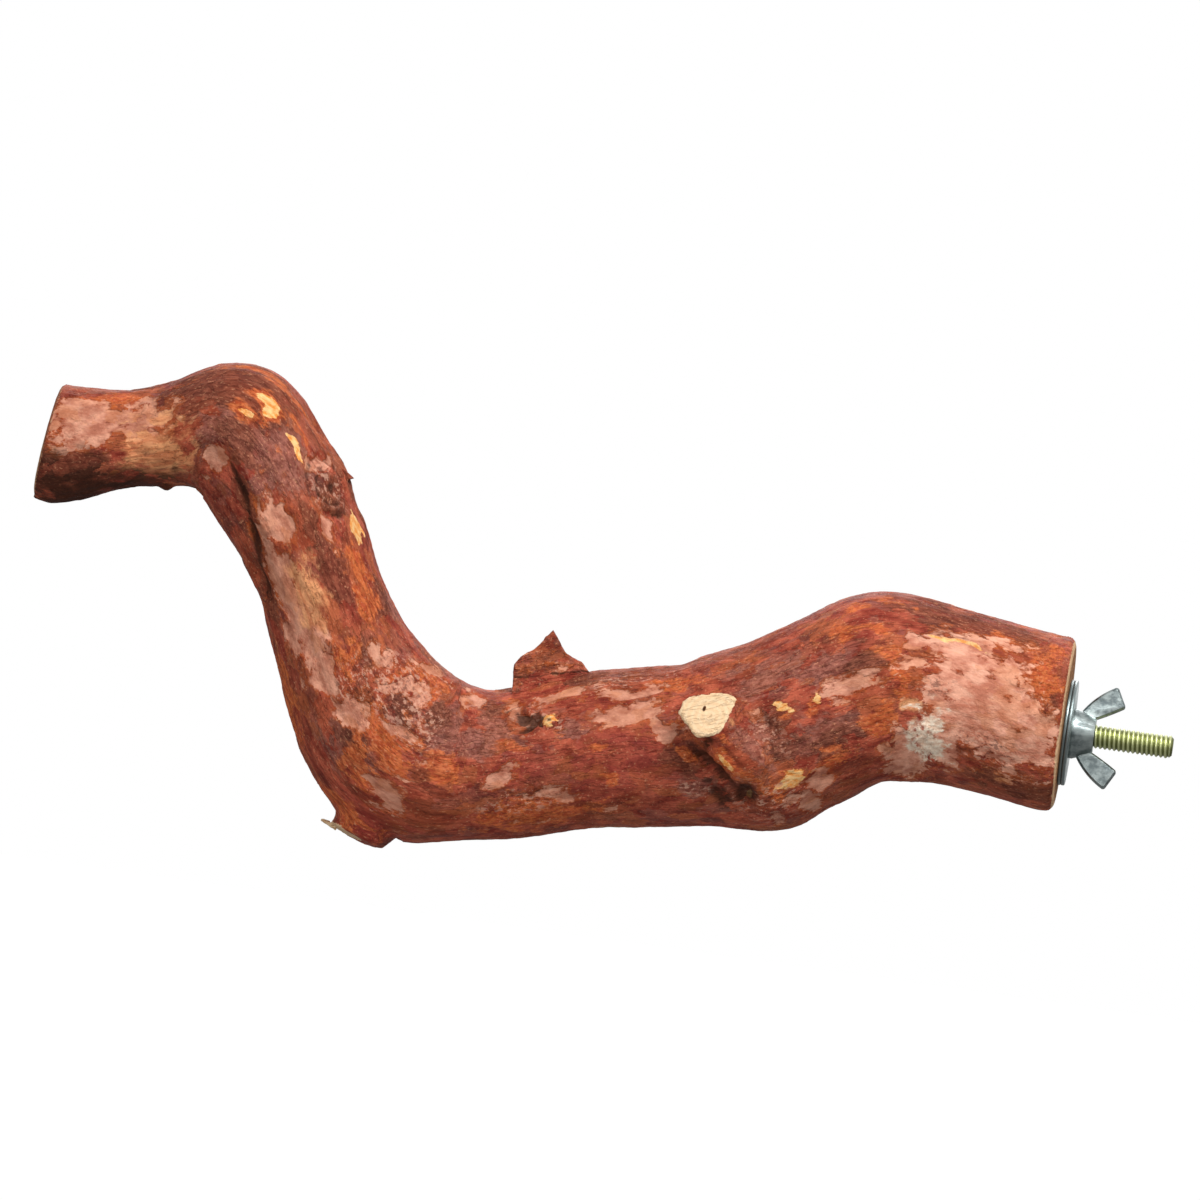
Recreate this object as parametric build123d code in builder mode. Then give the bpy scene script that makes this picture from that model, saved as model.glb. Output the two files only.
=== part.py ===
"""Natural-branch bird perch: a crooked sawn limb with a hanger bolt, two washers and a wing nut.

+X runs out of the sawn butt along the bolt, +Z is up, and -Y is the side with the pruned twig.
The origin lies on the bolt's axis, at the outer face of the inner washer, where a cage wall is clamped.
Lengths are millimetres, angles degrees.
"""

import os
from math import cos, radians, sin

from build123d import *

# Limb
limb_length = 282.0  # along the bolt's axis, what the stations' distances are shares of
limb_rise = 49.5  # bolt's axis to the middle of the elbow
limb_sway = 8.0  # how far the limb wanders to the front and back
butt_diameter = 46.2
butt_edge_chamfer = 1.4
arm_edge_chamfer = 1.1
arm_saw_share = 1.008  # sawn arm's place along the limb
arm_saw_lean = 6.8  # sawn arm's face from upright
limb_section_count = 36  # sections that the limb is lofted through, evenly spaced
places_per_station = 40  # how finely the smooth curve through the stations is searched

# Stations from the butt to the arm: distance along (of limb_length), height (of limb_rise),
# sway to the back (of limb_sway), width (of butt_diameter) and depth (of that width)
limb_station_shares = (
    (-0.035, 0.035, 0.00, 0.990, 0.98),
    (0.030, 0.050, 0.00, 1.035, 0.97),
    (0.086, 0.093, -0.10, 1.030, 0.97),
    (0.145, 0.125, -0.25, 1.090, 0.94),
    (0.192, 0.074, -0.35, 1.140, 0.92),
    (0.236, -0.080, -0.35, 1.125, 0.91),
    (0.281, -0.245, -0.25, 1.130, 0.88),
    (0.330, -0.310, -0.10, 1.010, 0.95),
    (0.384, -0.385, 0.10, 0.940, 0.97),
    (0.440, -0.445, 0.30, 0.930, 0.96),
    (0.499, -0.555, 0.50, 0.920, 0.95),
    (0.548, -0.630, 0.60, 0.970, 0.90),
    (0.588, -0.655, 0.55, 1.060, 0.84),
    (0.624, -0.592, 0.40, 1.070, 0.83),
    (0.654, -0.446, 0.20, 1.000, 0.87),
    (0.680, -0.250, 0.00, 0.875, 0.93),
    (0.702, -0.044, -0.20, 0.785, 0.96),
    (0.726, 0.223, -0.35, 0.735, 0.97),
    (0.753, 0.510, -0.40, 0.780, 0.95),
    (0.781, 0.750, -0.35, 0.840, 0.91),
    (0.815, 0.948, -0.25, 0.865, 0.89),
    (0.842, 1.010, -0.10, 0.815, 0.91),
    (0.866, 0.985, 0.10, 0.690, 0.95),
    (0.893, 0.930, 0.30, 0.610, 0.97),
    (0.928, 0.873, 0.50, 0.585, 0.98),
    (0.963, 0.822, 0.70, 0.652, 0.97),
    (1.032, 0.785, 1.00, 0.730, 0.97),
)
# Lean of each station's section from upright, towards the butt at its top, in the same order
limb_section_leans = (
    (0, -3, -4, -9, -13, -16, -16, -14, -11)
    + (-7, 2, 14, 27, 38, 49, 57, 59, 56)
    + (47, 36, 22, 9, 0, -5, -2, 2, 8)
)

# Pruned twig on the front of the limb: its root lies inside the limb and its sawn face stands proud
twig_root_diameter = 23.0
twig_waist_diameter = 16.8
twig_face_diameter = 15.8
twig_root_shares = (0.281, -0.48, 0.30)  # along limb_length, up and to the front of the half section
twig_waist_shares = (0.307, -0.08, 0.90)
twig_face_shares = (0.329, 0.27, 1.28)
twig_face_turn = 18.0  # sawn face turned from the front towards the arm
twig_face_tilt = 22.0  # sawn face tipped upwards

# Sawn-off fork under the heel
heel_root_diameter = 22.0
heel_face_diameter = 16.2
heel_root_shares = (0.605, -0.55, 0.05)
heel_face_shares = (0.607, -1.11, 0.10)
heel_face_turn = 20.0  # sawn face turned from below towards the arm
heel_face_tilt = 16.0  # sawn face turned towards the front

# Torn bark on top of the limb: its outline, from its seat, as shares of its length and height
flap_length = 21.4
flap_height = 14.0
flap_thickness = 2.4
flap_seat_shares = (0.495, 1.00, 0.28)
flap_outline_shares = (
    (-0.47, -0.45),
    (-0.50, 0.23),
    (-0.43, 0.40),
    (-0.25, 0.62),
    (-0.07, 1.00),
    (0.12, 0.60),
    (0.32, 0.47),
    (0.50, 0.38),
    (0.42, -0.20),
)

# Lifted bark chip beside the stem's knot: its outline, from its seat, as shares of its length along the limb
chip_length = 6.0
chip_width = 3.2
chip_seat_shares = (0.759, 1.00, 0.15)
chip_outline_shares = (
    (0.50, -0.30),
    (0.46, 0.06),
    (0.10, 0.30),
    (-0.20, 0.52),
    (-0.34, 0.40),
    (-0.26, 0.16),
    (-0.50, -0.30),
)

# Fibre left standing at the edge of the sawn heel
splinter_length = 4.8
splinter_root_diameter = 2.0
splinter_tip_diameter = 0.7
splinter_rise = 18.0  # above level, pointing towards the arm

# Hanger bolt: wood thread in the butt, machine thread outside; threads are left plain
thread_diameter = 6.35
bolt_projection = 28.6
bolt_end_chamfer = 0.9
neck_diameter = 6.0  # thread under the washers and the nut, to its pitch line
neck_overhang = 0.3  # neck beyond the nut's crown
lag_diameter = 6.2
lag_depth = 40.0
lag_point_length = 8.0
pilot_clearance = 0.05

# Washers
washer_diameter = 28.6
washer_hole_diameter = 7.1
washer_thickness = 1.0
washer_edge_chamfer = 0.2

# Wing nut
nut_height = 6.2
nut_base_diameter = 13.6
nut_base_rim = 0.9
nut_crown_diameter = 9.6
nut_clearance = 0.04
wing_span = 28.4
wing_reach = 13.6  # nut's base to the wings' outer corners, along the bolt
wing_thickness = 2.4
wing_corner_round = 0.8
wing_edge_chamfer = 0.5
wing_turn = 10.0  # wings turned about the bolt from upright
# Wing outline: distance along wing_reach and distance from the bolt's axis as a share of half of wing_span
wing_root_shares = (0.10, 0.36)
wing_back_shares = (0.32, 0.655)
wing_tip_shares = (0.79, 1.00)
wing_corner_shares = (1.00, 0.62)
wing_front_shares = (0.68, 0.435)
wing_crown_shares = (0.38, 0.29)

bolt_plane = Plane(origin=(0, 0, 0), x_dir=(0, 1, 0), z_dir=(1, 0, 0))


def half(size):
    return size / 2


def limb_section(place):
    """Middle, lean, half width and half depth of the limb at a place counted in stations."""
    rows = [shares + (lean,) for shares, lean in zip(limb_station_shares, limb_section_leans)]
    index = min(int(place), len(rows) - 2)
    step = place - index
    around = (rows[min(max(index + k, 0), len(rows) - 1)] for k in (-1, 0, 1, 2))
    # Smooth curve through the four stations around the place, one for each column of the table
    along, height, sway, width, depth, lean = (
        b + step * ((c - a) / 2 + step * (a - 2.5 * b + 2 * c - d / 2 + step * (1.5 * (b - c) + (d - a) / 2)))
        for a, b, c, d in zip(*around)
    )
    middle = Vector(-washer_thickness - along * limb_length, sway * limb_sway, height * limb_rise)
    half_width = half(width * butt_diameter)
    return middle, lean, half_width, depth * half_width


def fine_places():
    """Places close together all along the limb."""
    last = len(limb_station_shares) - 1
    steps = places_per_station * last
    return [last * k / steps for k in range(steps + 1)]


def place_along(along_share):
    """Place, counted in stations, at a share of the limb's length."""
    wanted = -washer_thickness - along_share * limb_length
    return min(fine_places(), key=lambda place: abs(limb_section(place)[0].X - wanted))


def even_places(count):
    """Places that divide the limb's middle line into equal steps."""
    places = fine_places()
    middles = [limb_section(place)[0] for place in places]
    lengths = [0]
    for near, far in zip(middles, middles[1:]):
        lengths.append(lengths[-1] + (far - near).length)
    wanted = [lengths[-1] * k / (count - 1) for k in range(count)]
    return [min(zip(lengths, places), key=lambda pair: abs(pair[0] - length))[1] for length in wanted]


def limb_plane(middle, lean):
    """Plane across the limb, with its Y direction along the section's upright."""
    tangent = (cos(radians(lean)), 0, -sin(radians(lean)))
    return Plane(origin=middle, x_dir=(0, 1, 0), z_dir=tangent)


def on_limb(along_share, up_share, front_share):
    """Point given by shares of the half section at a share of the limb's length."""
    middle, lean, half_width, half_depth = limb_section(place_along(along_share))
    upright = Vector(sin(radians(lean)), 0, cos(radians(lean)))
    return middle + upright * (up_share * half_width) - Vector(0, front_share * half_depth, 0)


def bolt_profile(clearance):
    """Half outline of the hanger bolt over its axis, grown by a clearance."""
    lag = half(lag_diameter) + clearance
    neck = half(neck_diameter) + clearance
    thread = half(thread_diameter) + clearance
    wood_face = -washer_thickness
    lag_end = wood_face - lag_depth
    neck_end = washer_thickness + nut_height + neck_overhang
    return (
        (lag_end, 0),
        (lag_end + lag_point_length, lag),
        (wood_face - neck_overhang, lag),
        (wood_face - neck_overhang, neck),
        (neck_end, neck),
        (neck_end, thread),
        (bolt_projection - bolt_end_chamfer, thread),
        (bolt_projection, thread - bolt_end_chamfer),
        (bolt_projection, 0),
    )


# Limb with its sawn ends, the pruned twig and the sawn-off fork under the heel
twig_root = on_limb(*twig_root_shares)
twig_waist = on_limb(*twig_waist_shares)
twig_face = on_limb(*twig_face_shares)
twig_normal = Vector(
    -sin(radians(twig_face_turn)) * cos(radians(twig_face_tilt)),
    -cos(radians(twig_face_turn)) * cos(radians(twig_face_tilt)),
    sin(radians(twig_face_tilt)),
)
heel_root = on_limb(*heel_root_shares)
heel_face = on_limb(*heel_face_shares)
heel_normal = Vector(
    -sin(radians(heel_face_turn)) * cos(radians(heel_face_tilt)),
    -sin(radians(heel_face_tilt)),
    -cos(radians(heel_face_turn)) * cos(radians(heel_face_tilt)),
)

with BuildPart() as branch:
    for place in even_places(limb_section_count):
        middle, lean, half_width, half_depth = limb_section(place)
        with BuildSketch(limb_plane(middle, lean)):
            with BuildLine():
                EllipticalCenterArc((0, 0), half_depth, half_width, start_angle=-90, arc_size=180)
                EllipticalCenterArc((0, 0), half_depth, half_width, start_angle=90, arc_size=180)
            make_face()
    loft()
    split(bisect_by=bolt_plane.offset(-washer_thickness), keep=Keep.BOTTOM)
    chamfer(branch.faces().sort_by(Axis.X)[-1].edges(), butt_edge_chamfer)
    split(bisect_by=limb_plane(on_limb(arm_saw_share, 0, 0), arm_saw_lean), keep=Keep.TOP)
    chamfer(branch.faces().sort_by(Axis.X)[0].edges(), arm_edge_chamfer)

    with BuildSketch(Plane(origin=twig_root, z_dir=twig_waist - twig_root)):
        Circle(half(twig_root_diameter))
    with BuildSketch(Plane(origin=twig_waist, z_dir=twig_face - twig_root)):
        Circle(half(twig_waist_diameter))
    with BuildSketch(Plane(origin=twig_face, z_dir=twig_normal)):
        Circle(half(twig_face_diameter))
    loft()

    with BuildSketch(Plane(origin=heel_root, z_dir=heel_face - heel_root)):
        Circle(half(heel_root_diameter))
    with BuildSketch(Plane(origin=heel_face, z_dir=heel_normal)):
        Circle(half(heel_face_diameter))
    loft()

    with BuildSketch(Plane.XZ):
        with BuildLine():
            Polyline(*bolt_profile(pilot_clearance), close=True)
        make_face()
    revolve(axis=Axis.X, mode=Mode.SUBTRACT)

# Torn bark standing on the limb's top, seated on the bark below it
with BuildPart() as bark_flap:
    flap_seat = on_limb(*flap_seat_shares)
    with BuildSketch(Plane(origin=flap_seat, x_dir=(1, 0, 0), z_dir=(0, -1, 0))):
        with BuildLine():
            Polyline(*[(x * flap_length, y * flap_height) for x, y in flap_outline_shares], close=True)
        make_face()
    extrude(amount=half(flap_thickness), both=True)
    add(branch.part, mode=Mode.SUBTRACT)

# Lifted bark chip beside the knot on the stem
with BuildPart() as bark_chip:
    chip_lean = limb_section(place_along(chip_seat_shares[0]))[1]
    chip_run = Vector(cos(radians(chip_lean)), 0, -sin(radians(chip_lean)))
    with BuildSketch(Plane(origin=on_limb(*chip_seat_shares), x_dir=chip_run, z_dir=(0, -1, 0))):
        with BuildLine():
            Polyline(*[(x * chip_length, y * chip_length) for x, y in chip_outline_shares], close=True)
        make_face()
    extrude(amount=half(chip_width), both=True)
    add(branch.part, mode=Mode.SUBTRACT)

# Fibre standing at the edge of the sawn heel
with BuildPart() as heel_splinter:
    splinter_direction = Vector(-cos(radians(splinter_rise)), 0, sin(radians(splinter_rise)))
    splinter_root = heel_face + splinter_direction * half(heel_face_diameter - splinter_length)
    splinter_plane = Plane(origin=splinter_root, z_dir=splinter_direction)
    with BuildSketch(splinter_plane):
        Circle(half(splinter_root_diameter))
    with BuildSketch(splinter_plane.offset(splinter_length)):
        Circle(half(splinter_tip_diameter))
    loft()
    add(branch.part, mode=Mode.SUBTRACT)

# Hanger bolt
with BuildPart() as hanger_bolt:
    with BuildSketch(Plane.XZ):
        with BuildLine():
            Polyline(*bolt_profile(0), close=True)
        make_face()
    revolve(axis=Axis.X)


def washer_at(start):
    """Flat washer on the bolt with its inner face at a distance along the bolt."""
    with BuildPart() as washer:
        with BuildSketch(bolt_plane.offset(start)):
            Circle(half(washer_diameter))
            Circle(half(washer_hole_diameter), mode=Mode.SUBTRACT)
        extrude(amount=washer_thickness)
        rims = washer.edges().filter_by(GeomType.CIRCLE).sort_by(SortBy.RADIUS)[-2:]
        chamfer(rims, washer_edge_chamfer)
    return washer


inner_washer = washer_at(-washer_thickness)
outer_washer = washer_at(0)


def wing_point(shares, base):
    """Point of the wing's outline in its own plane, as distance along the bolt and from its axis."""
    return (base + shares[0] * wing_reach, shares[1] * half(wing_span))


# Wing nut: two flat wings with bevelled edges on a conical hub
with BuildPart() as wing_nut:
    root, back, tip, corner, front, crown = (
        wing_point(shares, washer_thickness)
        for shares in (
            wing_root_shares,
            wing_back_shares,
            wing_tip_shares,
            wing_corner_shares,
            wing_front_shares,
            wing_crown_shares,
        )
    )
    for side in (1, -1):
        facing = Vector(0, -side * cos(radians(wing_turn)), side * sin(radians(wing_turn)))
        with BuildSketch(Plane(origin=(0, 0, 0), x_dir=(1, 0, 0), z_dir=facing)) as wing:
            with BuildLine():
                ThreePointArc(root, back, tip)
                Line(tip, corner)
                ThreePointArc(corner, front, crown)
                Line(crown, root)
            make_face()
            fillet(wing.vertices().sort_by_distance((0, 0))[-2:], wing_corner_round)
        extrude(amount=half(wing_thickness), both=True)
    wing_sides = wing_nut.faces().filter_by(Axis((0, 0, 0), facing))
    chamfer(wing_sides.edges().filter_by(GeomType.CIRCLE), wing_edge_chamfer)

    with BuildSketch(Plane.XZ):
        with BuildLine():
            Polyline(
                (washer_thickness, 0),
                (washer_thickness, half(nut_base_diameter)),
                (washer_thickness + nut_base_rim, half(nut_base_diameter)),
                (washer_thickness + nut_height, half(nut_crown_diameter)),
                (washer_thickness + nut_height, 0),
                close=True,
            )
        make_face()
    revolve(axis=Axis.X)
    with BuildSketch(bolt_plane):
        Circle(half(thread_diameter) + nut_clearance)
    extrude(amount=wing_reach, mode=Mode.SUBTRACT)

pieces = {
    "branch": branch,
    "bark_flap": bark_flap,
    "bark_chip": bark_chip,
    "heel_splinter": heel_splinter,
    "hanger_bolt": hanger_bolt,
    "inner_washer": inner_washer,
    "outer_washer": outer_washer,
    "wing_nut": wing_nut,
}

os.makedirs("parts", exist_ok=True)
for name, piece in pieces.items():
    piece.part.label = name
    export_step(piece.part, f"parts/{name}.step")
    print(name, len(piece.part.solids()), "solid,", round(piece.part.volume), "cubic millimetres")
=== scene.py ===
# %% [markdown]
# # A natural-branch perch
# The perch is a crooked piece of branch with flaking bark, sawn at both ends. A hanger bolt in its butt, two
# washers and a wing nut clamp it to the wall of a cage. The CAD model is loaded first and stays fixed. Each piece
# that is made below sits where its CAD solid sits, and moves with the same body.

# %% Load the CAD frame
import math

import bpy
import numpy as np
from mathutils import Matrix, Vector, kdtree, noise


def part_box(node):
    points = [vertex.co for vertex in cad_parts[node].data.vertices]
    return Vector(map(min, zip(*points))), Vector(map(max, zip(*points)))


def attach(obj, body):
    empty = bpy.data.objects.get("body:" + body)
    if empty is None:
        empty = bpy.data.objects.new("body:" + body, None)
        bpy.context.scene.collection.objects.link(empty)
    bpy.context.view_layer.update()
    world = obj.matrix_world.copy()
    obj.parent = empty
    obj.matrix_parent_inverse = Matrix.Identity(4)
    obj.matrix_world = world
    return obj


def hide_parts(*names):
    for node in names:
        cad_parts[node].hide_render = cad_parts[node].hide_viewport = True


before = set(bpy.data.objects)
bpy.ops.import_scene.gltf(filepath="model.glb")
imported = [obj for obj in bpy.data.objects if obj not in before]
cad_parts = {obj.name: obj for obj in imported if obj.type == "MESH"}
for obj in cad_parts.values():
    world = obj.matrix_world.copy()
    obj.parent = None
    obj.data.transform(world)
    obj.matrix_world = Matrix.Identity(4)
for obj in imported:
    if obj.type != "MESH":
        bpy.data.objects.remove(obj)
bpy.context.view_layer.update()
mm = 0.001

# %% [markdown]
# ## Helpers
# An operator acts on whatever is selected, so each piece is picked alone before it is worked on. A CAD node's
# mesh is loose triangles, so a copy has its doubled points merged before anything else is done to it.


# %% Pick, copy and apply
def pick(piece):
    """Selects one piece alone, in object mode."""
    if bpy.context.object and bpy.context.object.mode != "OBJECT":
        bpy.ops.object.mode_set(mode="OBJECT")
    bpy.ops.object.select_all(action="DESELECT")
    piece.select_set(True)
    bpy.context.view_layer.objects.active = piece


def edit(piece):
    """Opens one piece in edit mode with all of it selected."""
    pick(piece)
    bpy.ops.object.mode_set(mode="EDIT")
    bpy.ops.mesh.select_all(action="SELECT")


def done():
    bpy.ops.object.mode_set(mode="OBJECT")


def copy_of(node, name):
    """A piece of its own with a CAD node's shape."""
    piece = bpy.data.objects.new(name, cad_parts[node].data.copy())
    bpy.context.scene.collection.objects.link(piece)
    edit(piece)
    bpy.ops.mesh.remove_doubles(threshold=0.001 * mm)
    done()
    return piece


def modify(piece, kind, **settings):
    """Adds a modifier with its settings and applies it."""
    pick(piece)
    modifier = piece.modifiers.new(kind.title(), kind)
    for name, value in settings.items():
        setattr(modifier, name, value)
    bpy.ops.object.modifier_apply(modifier=modifier.name)


def remesh(piece, size, smoothing=0):
    """Remeshes a piece into even squares, with their size in millimetres, and smooths them."""
    modify(piece, "REMESH", mode="VOXEL", voxel_size=size * mm)
    if smoothing:
        modify(piece, "SMOOTH", factor=0.5, iterations=smoothing)


def points_of(piece, field="co"):
    """The places of a mesh's points, or their normals, one row each."""
    rows = np.zeros(len(piece.data.vertices) * 3, np.float32)
    piece.data.vertices.foreach_get(field, rows)
    return rows.reshape(-1, 3).astype(float)


def pushed_out(piece, points, height):
    """Points moved along the normals of a piece by a height in millimetres."""
    return points + points_of(piece, "normal") * (height * mm)[:, None]


def move_points(piece, points):
    piece.data.vertices.foreach_set("co", points.astype(np.float32).ravel())
    piece.data.update()


# %% [markdown]
# ## Camera
# The photograph looks straight at the front of the perch, with the washers nearly on edge, and the perch hangs with
# its bolt dipping to the right. So the camera stands far off with a very long lens, turned 3 degrees towards the
# bolt's end and rolled 8 degrees, and its frame is as wide as the photograph's 1200 pixels.

# %% Camera at the photograph's angle
photo_pixels = 1200
pixels_per_mm = 3.70
photo_width = photo_pixels / pixels_per_mm * mm
view_turn = math.radians(3)
view_roll = math.radians(8)
view_middle = Vector((-130.3, 0, 17.9)) * mm
view_distance = 8.0

to_camera = Vector((math.sin(view_turn), -math.cos(view_turn), 0))
level_right = Vector((math.cos(view_turn), math.sin(view_turn), 0))
upright = Vector((0, 0, 1))
image_right = level_right * math.cos(view_roll) + upright * math.sin(view_roll)
image_up = upright * math.cos(view_roll) - level_right * math.sin(view_roll)

bpy.ops.object.camera_add()
camera = bpy.context.object
camera.name = "photo_camera"
camera.matrix_world = Matrix.Translation(view_middle + to_camera * view_distance) @ Matrix(
    (image_right, image_up, to_camera)
).transposed().to_4x4()
camera.data.sensor_width = 36
camera.data.lens = camera.data.sensor_width * view_distance / photo_width
camera.data.clip_start = 0.05
camera.data.clip_end = 50
bpy.context.scene.camera = camera
print("camera lens", round(camera.data.lens), "mm")

# %% [markdown]
# ## Light and background
# A product picture on white: a soft lamp in front, above and to the right, a weaker one low on the left, a third
# behind, and a soft white surround. The world's full white is seen by the camera and by reflections only, so it adds
# no light to the bark. The floor's white is seen by the camera only, so the metal mirrors a darker floor. The floor
# lies well below the perch, which hangs from a wall in use. The helpers put nodes into whichever tree is open.


# %% Node helpers
def feed(socket, value):
    """Links an input to a value that is a socket, and sets any other value on it."""
    if isinstance(value, bpy.types.NodeSocket):
        tree.links.new(value, socket)
    else:
        socket.default_value = value


def feed_all(node, **values):
    """Feeds a node's inputs by name, with a low line for each space."""
    for name, value in values.items():
        feed(node.inputs[name.replace("_", " ")], value)
    return node


def put(kind, **values):
    """Adds a node to the open tree."""
    return feed_all(tree.nodes.new(kind), **values)


def maths(operation, first, second=0.0, clamp=False):
    node = tree.nodes.new("ShaderNodeMath")
    node.operation = operation
    node.use_clamp = clamp
    feed(node.inputs[0], first)
    feed(node.inputs[1], second)
    return node.outputs[0]


def plus(first, second, clamp=False):
    return maths("ADD", first, second, clamp)


def minus(first, second, clamp=False):
    return maths("SUBTRACT", first, second, clamp)


def times(first, second):
    return maths("MULTIPLY", first, second)


def blend(factor, first, second):
    """Colour that goes from the first to the second as the factor goes from 0 to 1."""
    node = tree.nodes.new("ShaderNodeMix")
    node.data_type = "RGBA"
    feed(node.inputs[0], factor)
    for index, colour in ((6, first), (7, second)):
        feed(node.inputs[index], colour if isinstance(colour, bpy.types.NodeSocket) else (*colour, 1))
    return node.outputs[2]


def ease(value, low, high):
    """Goes smoothly from 0 to 1 as the value goes from low to high."""
    node = put("ShaderNodeMapRange", Value=value, From_Min=low, From_Max=high)
    node.interpolation_type = "SMOOTHSTEP"
    return node.outputs["Result"]


def show(kind, share, first, second):
    """Mixes two shaders and makes the mix the surface of the open tree."""
    chosen = put("ShaderNodeMixShader", Fac=share)
    feed(chosen.inputs[1], first.outputs[0])
    feed(chosen.inputs[2], second.outputs[0])
    put(kind, Surface=chosen.outputs[0])


def new_finish(name):
    """Makes a material and opens its node tree for the helpers. Returns the material and its shader."""
    global tree
    material = bpy.data.materials.new(name)
    material.use_nodes = True
    tree = material.node_tree
    return material, tree.nodes["Principled BSDF"]


# %% World, lamps and floor
surround_strength = 0.29
floor_depth = 0.30
floor_width = 40
floor_grey = 0.3
floor_white = 1.12
floor_white_share = 0.9
# Name, place and width in metres, and power in watts
lamps = (
    ("key_lamp", (0.45, -0.95, 1.30), 0.6, 27.5),
    ("left_lamp", (-0.7, -1.3, -0.05), 0.9, 7),
    ("back_lamp", (-0.2, 1.3, 0.9), 0.9, 9),
)
scene = bpy.context.scene
scene.view_settings.view_transform = "Standard"
world = bpy.data.worlds.new("white_studio")
scene.world = world
world.use_nodes = True
tree = world.node_tree
tree.nodes.clear()
rays = tree.nodes.new("ShaderNodeLightPath")
seen = maths("MAXIMUM", rays.outputs["Is Camera Ray"], rays.outputs["Is Glossy Ray"])
seen = maths("MAXIMUM", seen, rays.outputs["Is Transmission Ray"])
surround = put("ShaderNodeBackground", Color=(1, 1, 1, 1), Strength=surround_strength)
backdrop = put("ShaderNodeBackground", Color=(1, 1, 1, 1), Strength=1.0)
show("ShaderNodeOutputWorld", seen, surround, backdrop)

# Each square lamp faces the middle of the perch
for name, place, size, watts in lamps:
    bpy.ops.object.light_add(type="AREA", location=place)
    lamp = bpy.context.object
    lamp.name = name
    lamp.rotation_euler = (view_middle - Vector(place)).to_track_quat("-Z", "Y").to_euler()
    lamp.data.size = size
    lamp.data.energy = watts

bpy.ops.mesh.primitive_plane_add(size=floor_width, location=(0, 0, -floor_depth))
floor = bpy.context.object
floor.name = "floor"
pale = new_finish("pale_floor")[0]
tree.nodes.clear()
seen = tree.nodes.new("ShaderNodeLightPath").outputs["Is Camera Ray"]
matt = put("ShaderNodeBsdfDiffuse", Color=(floor_grey, floor_grey, floor_grey, 1))
white = put("ShaderNodeEmission", Color=(1, 1, 1, 1), Strength=floor_white)
show("ShaderNodeOutputMaterial", times(seen, floor_white_share), matt, white)
floor.data.materials.append(pale)
print("lamps and floor set")

# %% [markdown]
# ## Finding one's way on the limb
# Bark grows along the limb, so streaks, cracks and flakes follow its bends. Each point of the wood gets a place
# on the limb: how far along its middle line it lies from the butt, and how far it is to the front and above that
# line. The middle line is a smooth curve through a few given points inside the CAD limb.

# %% Places along and around the limb
limb_middle = (
    (4, 0, 2), (-10, 0, 2), (-40, -2, 6), (-68, -3, -4), (-94, -1, -15), (-126, 2, -22), (-156, 5, -31),
    (-170, 4, -32), (-182, 2, -26), (-193, 0, -12), (-205, -3, 10), (-220, -3, 35), (-231, -2, 47),
    (-241, 0, 50), (-255, 3, 45), (-273, 6, 41), (-289, 8, 39),
)
butt_x = -1.0
steps_per_point = 40


def smooth_line(points, steps):
    """Curve through points, with steps from each to the next."""
    knots = np.array(points, float)
    knots = np.vstack((2 * knots[0] - knots[1], knots, 2 * knots[-1] - knots[-2]))
    line = []
    for a, b, c, d in zip(knots, knots[1:], knots[2:], knots[3:]):
        for t in np.arange(steps) / steps:
            line.append(b + t * ((c - a) / 2 + t * (a - 2.5 * b + 2 * c - d / 2 + t * (1.5 * (b - c) + (d - a) / 2))))
    return np.array(line + [knots[-2]])


limb_line = smooth_line(limb_middle, steps_per_point)
limb_tangent = np.gradient(limb_line, axis=0)
limb_tangent /= np.linalg.norm(limb_tangent, axis=1)[:, None]
limb_along = np.concatenate(([0], np.cumsum(np.linalg.norm(np.diff(limb_line, axis=0), axis=1))))
limb_along -= limb_along[np.argmin(abs(limb_line[:, 0] - butt_x))]
limb_front = np.array((0, -1.0, 0)) - limb_tangent * (limb_tangent @ np.array((0, -1.0, 0)))[:, None]
limb_front /= np.linalg.norm(limb_front, axis=1)[:, None]
limb_up = np.cross(limb_tangent, limb_front)
limb_tree = kdtree.KDTree(len(limb_line))
for index, point in enumerate(limb_line):
    limb_tree.insert(point, index)
limb_tree.balance()


def limb_places(points):
    """Along, to the front and up, in millimetres, for points in metres."""
    points = points / mm
    nearest = np.array([limb_tree.find(point)[1] for point in points])
    offset = points - limb_line[nearest]
    along = limb_along[nearest] + (offset * limb_tangent[nearest]).sum(1)
    front = (offset * limb_front[nearest]).sum(1)
    up = (offset * limb_up[nearest]).sum(1)
    return np.stack((along, front, up), 1)


def grain_noise(places, size, stretch, seed, octaves=2):
    """Smooth noise on the limb, about -1 to 1, drawn out along the grain."""
    scaled = places / (size * stretch, size, size) + (seed * 7.3, seed * 3.1, -seed * 5.7)
    return np.array([noise.fractal(point, 0.9, 2.0, octaves) for point in scaled])


def smooth_step(value, low, high):
    share = np.clip((value - low) / (high - low), 0, 1)
    return share * share * (3 - 2 * share)


print("limb middle line", round(limb_along[-1]), "mm long")

# %% [markdown]
# ## The branch
# The wood is one piece: the limb, the pruned twig on its front and the sawn fork under its heel. It could be
# sculpted from a tube, but a copy of the CAD solid already has the right bends. The copy is remeshed into small
# even squares, which then can be pushed in and out like clay. The sawn faces are kept flat.

# %% Remeshed wood
grid_size = 0.82
branch = copy_of("branch", "bark_covered_branch")
remesh(branch, grid_size, 3)
print("branch", len(branch.data.vertices), "points")

# %% [markdown]
# The twig was cut with shears, so its face is no circle but a torn shield. Each point of the stub is slid along the
# stub's axis to the plane of its face, which tells where on the face it belongs. There it is moved in or out, to an
# outline that is given as distances from the middle of the face, one for each 30 degrees, as seen from the front.

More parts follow.
